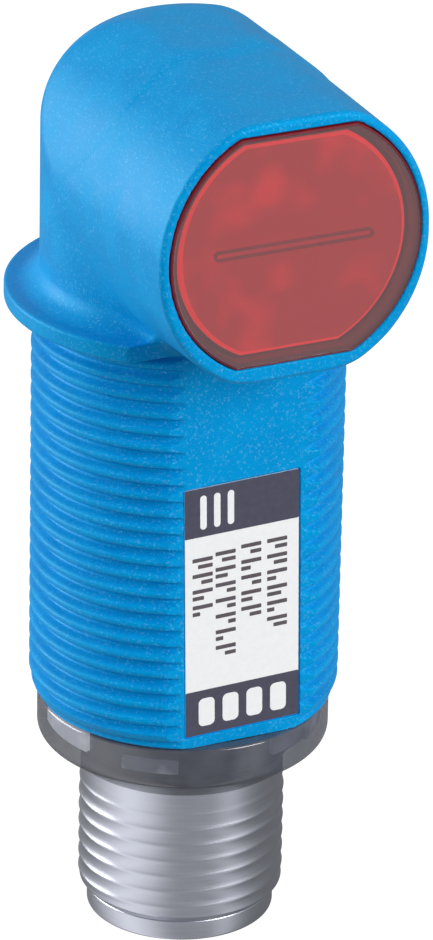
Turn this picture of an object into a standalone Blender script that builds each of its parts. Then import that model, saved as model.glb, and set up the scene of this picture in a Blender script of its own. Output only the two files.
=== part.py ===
"""Photoelectric sensor: a threaded M18 barrel with a right-angle optical head and an M12 connector.

Metres, +Z up. The origin is on the barrel's axis, in the plane of the flange's underside. The head
looks along -Y, and the connector points down. The reference angle of every turned piece is +X.
"""
import math

import bmesh
import bpy

MM = 0.001

# Gaps between neighbouring pieces.
FIT_GAP = 0.2 * MM
CLOSE_GAP = 0.1 * MM

# Vertices nearer than this are one vertex, the finer limit on a single shape and the other on a cut one.
SHAPE_WELD = 0.0001 * MM
CUT_WELD = 0.004 * MM

# Barrel with its M18 x 1 thread.
BARREL_LENGTH = 24.5 * MM
THREAD_PITCH = 1.0 * MM
THREAD_CREST_RADIUS = 8.95 * MM
THREAD_CORE_RADIUS = 8.5 * MM
THREAD_CREST_Z = -0.28 * MM
CREST_HALF_WIDTH = 0.10 * MM
FLANK_SLOPE = math.tan(math.radians(30))
RIDGE_EMBED = 0.12 * MM
BARREL_STEPS = 24
BARREL_END_CHAMFER = 1.2 * MM
BARREL_END_RADIUS = 8.52 * MM
FLAT_DISTANCE = 7.6 * MM
BORE_RADIUS = 6.6 * MM

# Flange and the neck above it.
FLANGE_RADIUS = 10.5 * MM
FLANGE_THICKNESS = 1.0 * MM
FLANGE_EDGE = 0.15 * MM
NECK_RADIUS = 8.46 * MM
SHOULDER_RADIUS = 8.5 * MM
NECK_FILLET = 1.3 * MM
DOME_RADIUS = 5.55 * MM

# Head: a horizontal cylinder with flats above and below.
HEAD_AXIS_Z = 8.0 * MM
HEAD_RADIUS = 8.54 * MM
HEAD_FLAT = 7.96 * MM
DOME_TOP = HEAD_AXIS_Z + HEAD_FLAT - 0.03 * MM
HEAD_FRONT = -13.3 * MM
HEAD_TUBE_BACK = 0.37 * MM
HEAD_EDGE = 0.3 * MM
HEAD_STEPS = 48
CAVITY_RADIUS = 6.9 * MM
CAVITY_FLAT = 6.3 * MM
CAVITY_FRONT = -11.75 * MM
CAVITY_BACK = 4.0 * MM

# Front lens, which stands proud of the rim round it.
LENS_RADIUS = 7.54 * MM
LENS_FLAT = 6.7 * MM
LENS_FRONT = -13.5 * MM
LENS_THICKNESS = 1.6 * MM
LENS_EDGE = 0.12 * MM
SLOT_LENGTH = 9.6 * MM
SLOT_HEIGHT = 0.9 * MM
SLOT_DEPTH = 0.5 * MM

# Optics behind the lens: the emitter above, the receiver below.
CHANNEL_OFFSET = 3.2 * MM
CHANNEL_RADIUS = 2.7 * MM
APERTURE_RADIUS = 1.5 * MM
HOLDER_FRONT = -11.55 * MM
HOLDER_BACK = -5.6 * MM
CHANNEL_FLOOR = -8.3 * MM
ELEMENT_RADIUS = CHANNEL_RADIUS - FIT_GAP
OPTICS_BOARD_Y = -4.9 * MM
BOARD_THICKNESS = 1.0 * MM

# Main board, lengthwise in the barrel.
BOARD_TOP = 12.0 * MM
BOARD_SHOULDER = -20.2 * MM
BOARD_BOTTOM = -22.8 * MM
BOARD_HALF_WIDTH = 6.1 * MM
BOARD_HEAD_HALF_WIDTH = 4.9 * MM
BOARD_TAB_HALF_WIDTH = 3.2 * MM

# Indicator ring below the barrel, which carries the light of the status lamps.
RING_RADIUS = 8.46 * MM
RING_TOP = -BARREL_LENGTH - FIT_GAP
RING_SIDE_END = -26.2 * MM
RING_CORNER = 0.8 * MM
RING_BOTTOM = -28.46 * MM
SPIGOT_TOP = -20.6 * MM

# Connector sleeve with its M12 x 1 thread.
SLEEVE_END = -38.46 * MM
SLEEVE_TOP = -21.2 * MM
SLEEVE_NECK_RADIUS = 5.9 * MM
SLEEVE_REAR_RADIUS = 5.45 * MM
SLEEVE_BORE_RADIUS = 4.35 * MM
SLEEVE_TIP_RADIUS = 5.3 * MM
SLEEVE_TIP_LENGTH = 1.3 * MM
M12_CREST_RADIUS = 6.0 * MM
M12_CORE_RADIUS = 5.48 * MM
M12_CREST_Z = -30.7 * MM
M12_TOP = -29.7 * MM
M12_STEPS = 24
GRIP_RADIUS = 6.7 * MM
GRIP_TOP = -26.1 * MM
GRIP_BOTTOM = -27.15 * MM

# Contacts.
CARRIER_FACE = -29.96 * MM
CARRIER_TOP = -23.9 * MM
PIN_CIRCLE_RADIUS = 2.4 * MM
PIN_RADIUS = 0.5 * MM
PIN_TIP = -37.5 * MM
PIN_TOP = -20.2 * MM
PIN_NAMES = ("contact_pin_1", "contact_pin_2", "contact_pin_3", "contact_pin_4")
KEY_WIDTH = 0.9 * MM
KEY_DEPTH = 0.55 * MM
KEY_LENGTH = 6.0 * MM

# Label in a shallow pocket of the barrel's front flat.
LABEL_WIDTH = 7.09 * MM
LABEL_HEIGHT = 15.43 * MM
LABEL_CENTRE_Z = -16.0 * MM
LABEL_THICKNESS = 0.12 * MM
LABEL_POCKET_DEPTH = 0.3 * MM
LABEL_MARGIN = 0.1 * MM


def srgb(red, green, blue):
    """Linear colour of an sRGB colour given in 0..255."""
    def linear(value):
        value /= 255
        return value / 12.92 if value <= 0.04045 else ((value + 0.055) / 1.055) ** 2.4
    return linear(red), linear(green), linear(blue), 1.0


def add_material(name, colour, roughness, metallic=0.0, transmission=0.0):
    material = bpy.data.materials.new(name)
    material.use_nodes = True
    shader = material.node_tree.nodes["Principled BSDF"]
    shader.inputs["Base Color"].default_value = colour
    shader.inputs["Roughness"].default_value = roughness
    shader.inputs["Metallic"].default_value = metallic
    shader.inputs["Transmission Weight"].default_value = transmission
    material.diffuse_color = colour
    return material


def add_collection(name):
    collection = bpy.data.collections.new(name)
    bpy.context.scene.collection.children.link(collection)
    return collection


def clear_scene():
    for old in list(bpy.data.objects):
        bpy.data.objects.remove(old, do_unlink=True)


clear_scene()
PARTS = add_collection("photoelectric_sensor")
CUTTERS = add_collection("cutters")


# ---- making and combining shapes ----------------------------------------------------------------

def new_object(name, data):
    """Put new data in the scene as a helper shape. finish() turns a helper into a part."""
    piece = bpy.data.objects.new(name, data)
    CUTTERS.objects.link(piece)
    piece.hide_render = True
    piece.display_type = "WIRE"
    return piece


def finish(piece, material):
    """Make a helper shape a part of the sensor with its own material."""
    CUTTERS.objects.unlink(piece)
    PARTS.objects.link(piece)
    piece.hide_render = False
    piece.display_type = "TEXTURED"
    piece.data.materials.clear()
    piece.data.materials.append(material)
    if piece.type == "MESH":
        piece.data.shade_smooth()
        piece.data.set_sharp_from_angle(angle=math.radians(35))
    return piece


def baked(piece, weld=SHAPE_WELD):
    """The piece as a plain welded mesh in world space, in place of the original object."""
    bpy.context.view_layer.update()
    evaluated = piece.evaluated_get(bpy.context.evaluated_depsgraph_get())
    mesh = bpy.data.meshes.new_from_object(evaluated)
    mesh.transform(piece.matrix_world)
    shape = bmesh.new()
    shape.from_mesh(mesh)
    bmesh.ops.remove_doubles(shape, verts=shape.verts, dist=weld)
    bmesh.ops.dissolve_degenerate(shape, edges=shape.edges, dist=weld)
    bmesh.ops.holes_fill(shape, edges=shape.edges, sides=0)
    bmesh.ops.recalc_face_normals(shape, faces=shape.faces)
    shape.to_mesh(mesh)
    shape.free()
    name = piece.name
    bpy.data.objects.remove(piece, do_unlink=True)
    return new_object(name, mesh)


def combine(target, other, operation):
    modifier = target.modifiers.new(other.name, "BOOLEAN")
    modifier.operation = operation
    modifier.solver = "EXACT"
    modifier.object = other
    return target


def cut(target, cutter):
    return combine(target, cutter, "DIFFERENCE")


def join(target, other):
    return combine(target, other, "UNION")


def trim(target, envelope):
    return combine(target, envelope, "INTERSECT")


def bevel_edges(piece, width, segments):
    """Round the sharp edges of a piece."""
    bevel = piece.modifiers.new("edges", "BEVEL")
    bevel.width = width
    bevel.segments = segments
    bevel.limit_method = "ANGLE"
    bevel.angle_limit = math.radians(60)
    return piece


def box(name, size, centre, edge=0.0):
    """A box from its three sizes and its centre, with its edges chamfered by edge."""
    shape = bmesh.new()
    bmesh.ops.create_cube(shape, size=1.0)
    bmesh.ops.scale(shape, vec=size, verts=shape.verts)
    mesh = bpy.data.meshes.new(name)
    shape.to_mesh(mesh)
    shape.free()
    piece = new_object(name, mesh)
    piece.location = centre
    return bevel_edges(piece, edge, 1) if edge else piece


def cylinder(name, radius, depth, centre, along="Z", steps=24, tip_radius=None):
    """A cylinder about Z or Y. tip_radius is the radius of its +Z (or -Y) end, where that differs."""
    shape = bmesh.new()
    end = radius if tip_radius is None else tip_radius
    bmesh.ops.create_cone(shape, cap_ends=True, segments=steps, radius1=radius, radius2=end, depth=depth)
    mesh = bpy.data.meshes.new(name)
    shape.to_mesh(mesh)
    shape.free()
    piece = new_object(name, mesh)
    piece.location = centre
    if along == "Y":
        piece.rotation_euler = (math.radians(90), 0, 0)
    return piece


def turned(name, profile, steps, closed=False):
    """A solid of revolution about Z from (radius, z) points, outer side first, top to bottom."""
    edges = [(index, index + 1) for index in range(len(profile) - 1)]
    if closed:
        edges.append((len(profile) - 1, 0))
    mesh = bpy.data.meshes.new(name)
    mesh.from_pydata([(radius, 0, z) for radius, z in profile], edges, [])
    piece = new_object(name, mesh)
    screw = piece.modifiers.new("turn", "SCREW")
    screw.steps = steps
    screw.render_steps = steps
    screw.use_merge_vertices = True
    screw.merge_threshold = 1e-6
    screw.use_smooth_shade = True
    return piece


def thread_ridge(name, crest_radius, core_radius, crest_z, bottom, top, steps):
    """The ridge of a right-hand thread about Z, sunk a little into its core.

    crest_z is the height of a crest at +X. The ridge covers at least bottom to top.
    """
    foot_radius = core_radius - RIDGE_EMBED
    foot_half = CREST_HALF_WIDTH + (crest_radius - foot_radius) * FLANK_SLOPE
    start = crest_z - math.ceil((crest_z - bottom) / THREAD_PITCH + 1) * THREAD_PITCH
    turns = math.ceil((top - start) / THREAD_PITCH + 1)
    profile = (
        (foot_radius, start + foot_half),
        (crest_radius, start + CREST_HALF_WIDTH),
        (crest_radius, start - CREST_HALF_WIDTH),
        (foot_radius, start - foot_half),
    )
    ridge = turned(name, profile, steps, closed=True)
    screw = ridge.modifiers["turn"]
    screw.screw_offset = THREAD_PITCH
    screw.iterations = turns
    return baked(ridge)


def arc(centre, radius, start, end, steps):
    """Points of an arc from angle start to angle end, in degrees."""
    points = []
    for index in range(steps + 1):
        angle = math.radians(start + (end - start) * index / steps)
        points.append((centre[0] + radius * math.cos(angle), centre[1] + radius * math.sin(angle)))
    return points


def outline_solid(name, outlines, front, back):
    """A flat solid between the planes y=front and y=back from closed (x, z) outlines."""
    curve = bpy.data.curves.new(name, "CURVE")
    curve.dimensions = "2D"
    curve.fill_mode = "BOTH"
    curve.extrude = (back - front) / 2
    for outline in outlines:
        spline = curve.splines.new("POLY")
        spline.points.add(len(outline) - 1)
        spline.use_cyclic_u = True
        for point, (x, z) in zip(spline.points, outline):
            point.co = (x, z, 0, 1)
    piece = new_object(name, curve)
    piece.location = (0, (front + back) / 2, 0)
    piece.rotation_euler = (math.radians(90), 0, 0)
    return baked(piece)


def two_flat_outline(radius, flat, steps=HEAD_STEPS):
    """A circle about the head's axis that is cut flat above and below."""
    side = math.degrees(math.asin(flat / radius))
    centre = (0, HEAD_AXIS_Z)
    right = arc(centre, radius, -side, side, steps // 2)
    left = arc(centre, radius, 180 - side, 180 + side, steps // 2)
    return right + left


# ---- housing ------------------------------------------------------------------------------------

def threaded_barrel():
    """Solid threaded barrel with a chamfered lower end and a flat behind."""
    overlap = FLANGE_THICKNESS / 2
    barrel = turned("housing", [
        (0, overlap),
        (THREAD_CORE_RADIUS, overlap),
        (THREAD_CORE_RADIUS, -BARREL_LENGTH),
        (0, -BARREL_LENGTH),
    ], BARREL_STEPS)
    ridge = thread_ridge("barrel_thread", THREAD_CREST_RADIUS, THREAD_CORE_RADIUS, THREAD_CREST_Z,
                         -BARREL_LENGTH, overlap, BARREL_STEPS)
    ridge_top = overlap - CLOSE_GAP
    ridge_bottom = -BARREL_LENGTH + CLOSE_GAP
    envelope = turned("barrel_envelope", [
        (0, ridge_top),
        (THREAD_CREST_RADIUS + FIT_GAP, ridge_top),
        (THREAD_CREST_RADIUS + FIT_GAP, ridge_bottom + BARREL_END_CHAMFER),
        (BARREL_END_RADIUS, ridge_bottom),
        (0, ridge_bottom),
    ], BARREL_STEPS)
    join(barrel, trim(ridge, envelope))
    back_depth = 2 * MM
    back_flat = box("back_flat", (4 * NECK_RADIUS, back_depth, 2 * BARREL_LENGTH),
                    (0, FLAT_DISTANCE + back_depth / 2, FIT_GAP - BARREL_LENGTH))
    return cut(barrel, back_flat)


def flange_and_neck():
    """Flange with a hollow fillet up to the neck, whose domed top has rounded shoulders."""
    fillet_centre = (NECK_RADIUS + NECK_FILLET, FLANGE_THICKNESS + NECK_FILLET)
    dome = arc((NECK_RADIUS - DOME_RADIUS, DOME_TOP - DOME_RADIUS), DOME_RADIUS, 90, 0, 10)
    neck = turned("neck", [(0, DOME_TOP)] + dome + arc(fillet_centre, NECK_FILLET, 180, 270, 5) + [
        (FLANGE_RADIUS - FLANGE_EDGE, FLANGE_THICKNESS),
        (FLANGE_RADIUS, FLANGE_THICKNESS - FLANGE_EDGE),
        (FLANGE_RADIUS, FLANGE_EDGE),
        (FLANGE_RADIUS - FLANGE_EDGE, 0),
        (0, 0),
    ], HEAD_STEPS)
    clear = FLANGE_RADIUS + MM
    shoulder = arc((0, HEAD_AXIS_Z), SHOULDER_RADIUS, 0, 180, HEAD_STEPS // 2)
    shoulder += [(-clear, HEAD_AXIS_Z / 2), (-clear, -MM), (clear, -MM), (clear, HEAD_AXIS_Z / 2)]
    return trim(neck, outline_solid("shoulders", [shoulder], -clear, clear))


def head_tube():
    """Front part of the head, from its rim back to the barrel's axis."""
    tube = outline_solid("head_tube", [two_flat_outline(HEAD_RADIUS, HEAD_FLAT)], HEAD_FRONT,
                         HEAD_TUBE_BACK)
    return bevel_edges(tube, HEAD_EDGE, 2)


def housing():
    """Moulded shell: barrel, flange, neck and head, hollow from the lens to the lower end."""
    shell = join(threaded_barrel(), flange_and_neck())
    front_depth = 4 * MM
    height = BARREL_LENGTH + 2 * HEAD_FLAT + 2 * MM
    front_flat = box("front_flat", (4 * NECK_RADIUS, front_depth, height),
                     (0, -FLAT_DISTANCE - front_depth / 2, 2 * HEAD_FLAT + MM - height / 2))
    cut(shell, front_flat)
    join(shell, head_tube())
    bore_top = HEAD_AXIS_Z
    bore = cylinder("barrel_bore", BORE_RADIUS, BARREL_LENGTH + bore_top + MM,
                    (0, 0, (bore_top - BARREL_LENGTH - MM) / 2), steps=32)
    cut(shell, bore)
    cavity = two_flat_outline(CAVITY_RADIUS, CAVITY_FLAT, 32)
    cut(shell, outline_solid("head_cavity", [cavity], CAVITY_FRONT - FIT_GAP, CAVITY_BACK))
    recess = two_flat_outline(LENS_RADIUS + 1.5 * CLOSE_GAP, LENS_FLAT + 1.5 * CLOSE_GAP)
    cut(shell, outline_solid("lens_recess", [recess], HEAD_FRONT - MM, CAVITY_FRONT))
    pocket = box("label_pocket",
                 (LABEL_WIDTH + 2 * LABEL_MARGIN, 2 * LABEL_POCKET_DEPTH, LABEL_HEIGHT + 2 * LABEL_MARGIN),
                 (0, -FLAT_DISTANCE, LABEL_CENTRE_Z))
    cut(shell, pocket)
    return finish(baked(shell, CUT_WELD), MATERIALS["housing_blue"])


def label():
    plate = box("label", (LABEL_WIDTH, LABEL_THICKNESS, LABEL_HEIGHT),
                (0, -FLAT_DISTANCE + LABEL_POCKET_DEPTH - CLOSE_GAP - LABEL_THICKNESS / 2, LABEL_CENTRE_Z))
    return finish(plate, MATERIALS["label_white"])


# ---- optics -------------------------------------------------------------------------------------

def front_lens():
    """Flat front lens with a slot in its back for the light barrier."""
    back = LENS_FRONT + LENS_THICKNESS
    lens = outline_solid("front_lens", [two_flat_outline(LENS_RADIUS, LENS_FLAT)], LENS_FRONT, back)
    bevel_edges(lens, LENS_EDGE, 1)
    slot = box("lens_slot", (SLOT_LENGTH, 2 * SLOT_DEPTH, SLOT_HEIGHT), (0, back, HEAD_AXIS_Z))
    return finish(cut(lens, slot), MATERIALS["lens_red"])


def channel_heights():
    return {"emitter": HEAD_AXIS_Z + CHANNEL_OFFSET, "receiver": HEAD_AXIS_Z - CHANNEL_OFFSET}


def optics_holder():
    """Black holder with a channel for the emitter and one for the receiver, and a barrier between."""
    outline = two_flat_outline(CAVITY_RADIUS - FIT_GAP, CAVITY_FLAT - FIT_GAP, 32)
    holder = outline_solid("optics_holder", [outline], HOLDER_FRONT, HOLDER_BACK)
    barrier_front = LENS_FRONT + LENS_THICKNESS - SLOT_DEPTH + FIT_GAP
    barrier_back = HOLDER_FRONT + MM
    barrier = box("light_barrier",
                  (SLOT_LENGTH - 2 * FIT_GAP, barrier_back - barrier_front, SLOT_HEIGHT - 2 * FIT_GAP),
                  (0, (barrier_front + barrier_back) / 2, HEAD_AXIS_Z))
    join(holder, barrier)
    for name, z in channel_heights().items():
        start = HOLDER_FRONT - MM
        cut(holder, cylinder(name + "_channel", CHANNEL_RADIUS, CHANNEL_FLOOR - start,
                             (0, (start + CHANNEL_FLOOR) / 2, z), along="Y"))
        cut(holder, cylinder(name + "_aperture", APERTURE_RADIUS, 8 * MM,
                             (0, CHANNEL_FLOOR, z), along="Y", steps=16))
    return finish(holder, MATERIALS["holder_black"])


def channel_optics():
    """A convex lens and a polarising filter in each channel."""
    for name, z in channel_heights().items():
        crown = arc((0, -2.2 * MM), 4.0 * MM, 90, 51.5, 6)
        profile = crown + [(crown[-1][0], 0.0), (0, 0.0)]
        lens = turned(name + "_lens", profile, 24)
        lens.location = (0, -9.4 * MM, z)
        lens.rotation_euler = (math.radians(90), 0, 0)
        finish(lens, MATERIALS["clear_optic"])
        disc = cylinder(name + "_polariser", ELEMENT_RADIUS, 0.3 * MM, (0, -8.8 * MM, z), along="Y")
        finish(disc, MATERIALS["polariser_grey"])


def optics_board():
    outline = two_flat_outline(CAVITY_RADIUS - FIT_GAP, CAVITY_FLAT - FIT_GAP, 32)
    half = BOARD_THICKNESS / 2
    board = outline_solid("optics_board", [outline], OPTICS_BOARD_Y - half, OPTICS_BOARD_Y + half)
    return finish(board, MATERIALS["board_green"])


def optics_chips():
    """Emitter lamp and receiver diode on the optics board, each inside its aperture."""
    heights = channel_heights()
    face = OPTICS_BOARD_Y - BOARD_THICKNESS / 2 - CLOSE_GAP
    chip = 1.8 * MM
    depth = 1.0 * MM
    dome_radius = 0.75 * MM
    led = box("emitter_led", (chip, depth, chip), (0, face - depth / 2, heights["emitter"]), edge=CLOSE_GAP)
    dome = cylinder("emitter_dome", dome_radius, 1.2 * MM,
                    (0, face - depth, heights["emitter"]), along="Y", steps=20, tip_radius=0.4 * MM)
    finish(join(led, dome), MATERIALS["lamp_red"])
    diode = box("receiver_diode", (chip, depth, chip), (0, face - depth / 2, heights["receiver"]),
                edge=CLOSE_GAP)
    finish(diode, MATERIALS["chip_black"])


# ---- electronics --------------------------------------------------------------------------------

def main_board():
    """Long board from the head down to the contacts, with a narrow tab at its lower end."""
    corner = 1.5 * MM
    right = [
        (BOARD_TAB_HALF_WIDTH, BOARD_BOTTOM),
        (BOARD_TAB_HALF_WIDTH, BOARD_SHOULDER),
        (BOARD_HALF_WIDTH, BOARD_SHOULDER),
        (BOARD_HALF_WIDTH, 5 * MM),
        (BOARD_HEAD_HALF_WIDTH, 7 * MM),
        (BOARD_HEAD_HALF_WIDTH, BOARD_TOP - corner),
        (BOARD_HEAD_HALF_WIDTH - corner, BOARD_TOP),
    ]
    left = [(-x, z) for x, z in reversed(right)]
    half = BOARD_THICKNESS / 2
    board = outline_solid("main_board", [right + left], -half, half)
    return finish(board, MATERIALS["board_green"])


def board_link():
    """Connector block between the optics board and the main board."""
    front = OPTICS_BOARD_Y + BOARD_THICKNESS / 2 + FIT_GAP
    back = -BOARD_THICKNESS / 2 - FIT_GAP
    link = box("board_link", (6 * MM, back - front, 2.4 * MM), (0, (front + back) / 2, 8 * MM),
               edge=CLOSE_GAP)
    return finish(link, MATERIALS["chip_black"])


def chip(name, size, x, z, side, material):
    """A component on the main board. side is -1 for the front face and 1 for the back face."""
    width, depth, height = size
    y = side * (BOARD_THICKNESS / 2 + CLOSE_GAP + depth / 2)
    piece = box(name, (width, depth, height), (x, y, z), edge=CLOSE_GAP)
    return finish(piece, MATERIALS[material])


def shield_can():
    """Screening can over the signal chip, open towards the board."""
    wall = 0.25 * MM
    outer = 7.0 * MM
    depth = 2.0 * MM
    face = -BOARD_THICKNESS / 2 - CLOSE_GAP
    can = box("shield_can", (outer, depth, outer), (0, face - depth / 2, -4 * MM))
    hollow = box("shield_hollow", (outer - 2 * wall, depth, outer - 2 * wall),
                 (0, face - depth / 2 + wall, -4 * MM))
    return finish(cut(can, hollow), MATERIALS["tin_plate"])


def board_components():
    chip("signal_asic", (5 * MM, 1.0 * MM, 5 * MM), 0, -4 * MM, -1, "chip_black")
    shield_can()
    chip("microcontroller", (5 * MM, 1.0 * MM, 5 * MM), 0, -4 * MM, 1, "chip_black")
    chip("voltage_regulator", (3.2 * MM, 1.4 * MM, 3.2 * MM), 2.5 * MM, -13 * MM, 1, "chip_black")
    chip("output_driver", (3.2 * MM, 1.1 * MM, 3.2 * MM), -1.5 * MM, -11.5 * MM, -1, "chip_black")
    chip("surge_suppressor", (2.6 * MM, 2.0 * MM, 4.2 * MM), 1.2 * MM, -16.5 * MM, -1, "chip_black")
    chip("capacitor_input", (3.4 * MM, 1.8 * MM, 2.8 * MM), -2.8 * MM, -13 * MM, 1, "capacitor_tan")
    chip("capacitor_output", (3.4 * MM, 1.8 * MM, 2.8 * MM), 2.2 * MM, -11 * MM, -1, "capacitor_tan")
    lamp = (1.6 * MM, 0.9 * MM, 0.9 * MM)
    chip("status_led_green", lamp, -4.6 * MM, -19.4 * MM, -1, "lamp_green")
    chip("status_led_yellow", lamp, 4.6 * MM, -19.4 * MM, -1, "lamp_yellow")


# ---- indicator ring and connector ---------------------------------------------------------------

def indicator_ring():
    """Smoky ring below the barrel with a spigot inside it, moulded round the connector's grip."""
    spigot = BORE_RADIUS - FIT_GAP
    corner = arc((RING_RADIUS - RING_CORNER, RING_SIDE_END), RING_CORNER, 0, -50, 4)
    mouth = SLEEVE_NECK_RADIUS + FIT_GAP
    grip = GRIP_RADIUS + FIT_GAP
    rear = SLEEVE_REAR_RADIUS + FIT_GAP
    ring = turned("indicator_ring", [
        (spigot, SPIGOT_TOP),
        (spigot, RING_TOP),
        (RING_RADIUS, RING_TOP),
    ] + corner + [
        (mouth, RING_BOTTOM),
        (mouth, GRIP_BOTTOM - FIT_GAP),
        (grip, GRIP_BOTTOM - FIT_GAP),
        (grip, GRIP_TOP + FIT_GAP),
        (rear, GRIP_TOP + FIT_GAP),
        (rear, SPIGOT_TOP),
    ], 40, closed=True)
    return finish(ring, MATERIALS["ring_smoke"])


def connector_sleeve():
    """Nickel-plated M12 sleeve with a thread outside and a plain bore."""
    edge = 0.3 * MM
    tip_top = SLEEVE_END + SLEEVE_TIP_LENGTH
    sleeve = turned("connector_sleeve", [
        (SLEEVE_BORE_RADIUS, SLEEVE_TOP),
        (SLEEVE_REAR_RADIUS, SLEEVE_TOP),
        (SLEEVE_REAR_RADIUS, GRIP_TOP),
        (GRIP_RADIUS, GRIP_TOP),
        (GRIP_RADIUS, GRIP_BOTTOM),
        (SLEEVE_NECK_RADIUS, GRIP_BOTTOM),
        (SLEEVE_NECK_RADIUS, M12_TOP),
        (M12_CORE_RADIUS, M12_TOP - edge),
        (M12_CORE_RADIUS, tip_top),
        (SLEEVE_TIP_RADIUS, tip_top),
        (SLEEVE_TIP_RADIUS, SLEEVE_END + edge),
        (SLEEVE_TIP_RADIUS - edge, SLEEVE_END),
        (SLEEVE_BORE_RADIUS, SLEEVE_END),
    ], M12_STEPS, closed=True)
    ridge = thread_ridge("connector_thread", M12_CREST_RADIUS, M12_CORE_RADIUS, M12_CREST_Z,
                         tip_top, M12_TOP, M12_STEPS)
    chamfer = M12_CREST_RADIUS - SLEEVE_TIP_RADIUS
    envelope = turned("connector_envelope", [
        (SLEEVE_TIP_RADIUS - edge, M12_TOP - edge / 2),
        (M12_CREST_RADIUS, M12_TOP - edge / 2),
        (M12_CREST_RADIUS + FIT_GAP, M12_TOP - 2 * edge),
        (M12_CREST_RADIUS + FIT_GAP, tip_top + chamfer),
        (SLEEVE_TIP_RADIUS, tip_top),
        (SLEEVE_TIP_RADIUS - edge, tip_top),
    ], M12_STEPS, closed=True)
    join(sleeve, trim(ridge, envelope))
    return finish(baked(sleeve, CUT_WELD), MATERIALS["nickel"])


def pin_places():
    """Centres of the four contacts, one every quarter turn."""
    for index, name in enumerate(PIN_NAMES):
        angle = math.radians(45 + 90 * index)
        yield name, PIN_CIRCLE_RADIUS * math.cos(angle), PIN_CIRCLE_RADIUS * math.sin(angle)


def contact_carrier():
    """Insulating insert in the sleeve, with a coding rib along the front of the bore."""
    radius = SLEEVE_BORE_RADIUS - FIT_GAP
    carrier = cylinder("contact_carrier", radius, CARRIER_TOP - CARRIER_FACE,
                       (0, 0, (CARRIER_TOP + CARRIER_FACE) / 2), steps=32)
    key_bottom = CARRIER_FACE - KEY_LENGTH
    key_front = -radius * math.cos(math.radians(12))
    key = box("coding_rib", (KEY_WIDTH, KEY_DEPTH, KEY_LENGTH + MM),
              (0, key_front + KEY_DEPTH / 2, (key_bottom + CARRIER_FACE + MM) / 2))
    join(carrier, key)
    for name, x, y in pin_places():
        cut(carrier, cylinder(name + "_hole", PIN_RADIUS + CLOSE_GAP, 10 * MM,
                              (x, y, (CARRIER_TOP + CARRIER_FACE) / 2), steps=16))
    return finish(carrier, MATERIALS["carrier_black"])


def contact_pins():
    """Four round contacts with rounded tips."""
    tip = arc((0, PIN_TIP + PIN_RADIUS), PIN_RADIUS, 0, -90, 4)
    for name, x, y in pin_places():
        pin = turned(name, [(0, PIN_TOP), (PIN_RADIUS, PIN_TOP)] + tip, 16)
        pin.location = (x, y, 0)
        finish(pin, MATERIALS["gold"])


MATERIALS = {
    "housing_blue": add_material("housing_blue", srgb(0, 158, 224), 0.42),
    "label_white": add_material("label_white", srgb(235, 240, 248), 0.35),
    "lens_red": add_material("lens_red", srgb(176, 50, 60), 0.12, transmission=0.6),
    "holder_black": add_material("holder_black", srgb(20, 20, 22), 0.6),
    "clear_optic": add_material("clear_optic", srgb(235, 238, 240), 0.05, transmission=0.95),
    "polariser_grey": add_material("polariser_grey", srgb(90, 90, 100), 0.2, transmission=0.5),
    "board_green": add_material("board_green", srgb(20, 92, 50), 0.45),
    "chip_black": add_material("chip_black", srgb(24, 24, 26), 0.55),
    "tin_plate": add_material("tin_plate", srgb(190, 192, 196), 0.3, metallic=1.0),
    "capacitor_tan": add_material("capacitor_tan", srgb(196, 150, 80), 0.5),
    "lamp_red": add_material("lamp_red", srgb(200, 40, 40), 0.2),
    "lamp_green": add_material("lamp_green", srgb(60, 190, 70), 0.2),
    "lamp_yellow": add_material("lamp_yellow", srgb(240, 200, 40), 0.2),
    "ring_smoke": add_material("ring_smoke", srgb(92, 88, 86), 0.25, transmission=0.3),
    "nickel": add_material("nickel", srgb(190, 190, 192), 0.3, metallic=1.0),
    "carrier_black": add_material("carrier_black", srgb(26, 26, 28), 0.5),
    "gold": add_material("gold", srgb(212, 170, 90), 0.25, metallic=1.0),
}

housing()
label()
front_lens()
optics_holder()
channel_optics()
optics_board()
optics_chips()
board_link()
main_board()
board_components()
indicator_ring()
connector_sleeve()
contact_carrier()
contact_pins()
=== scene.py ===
"""Looks of an M18 photoelectric sensor with a right-angle optical head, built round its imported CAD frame.

The frame is in metres, +Z up, with the optical axis towards -Y. The sizes below are in millimetres.
"""

import math

import bpy
import numpy as np
from mathutils import Matrix, Vector


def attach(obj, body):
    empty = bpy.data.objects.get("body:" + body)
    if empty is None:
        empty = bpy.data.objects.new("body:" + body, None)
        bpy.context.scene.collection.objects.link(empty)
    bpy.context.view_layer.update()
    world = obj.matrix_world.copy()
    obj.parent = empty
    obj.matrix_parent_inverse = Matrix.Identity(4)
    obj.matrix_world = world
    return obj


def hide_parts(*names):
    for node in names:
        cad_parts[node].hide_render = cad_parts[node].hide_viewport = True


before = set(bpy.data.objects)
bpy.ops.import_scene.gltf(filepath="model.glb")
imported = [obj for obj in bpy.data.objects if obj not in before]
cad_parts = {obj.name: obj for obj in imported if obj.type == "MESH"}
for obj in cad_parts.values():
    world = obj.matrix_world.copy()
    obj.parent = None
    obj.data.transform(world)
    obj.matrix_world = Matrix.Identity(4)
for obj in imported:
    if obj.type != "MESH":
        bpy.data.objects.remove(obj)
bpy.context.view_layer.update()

MM = 0.001

# Barrel: M18 x 1, right-handed, with a flat in front and a flat behind
BARREL_BOTTOM = -24.5
BARREL_TOP = 0.35
PITCH = 1.0
CREST_Z = -0.28
BARREL_CREST = 8.95
BARREL_CORE = 8.45
BARREL_FLAT = 7.6
BARREL_END_RADIUS = 8.5
BARREL_END_TAPER = 1.2
BARREL_BORE = 6.6
CREST_HALF = 0.11
ROOT_START = 0.42
FLAT_BLEND = 0.05
TAPER_BLEND = 0.1
END_ROUND_HEIGHT = 0.3
END_ROUND_DEPTH = 0.25
RIDGE_OFFSETS = (-0.5, -0.41, -0.34, -0.25, -0.16, -0.08, 0.0, 0.08, 0.16, 0.25, 0.34, 0.41)

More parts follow.
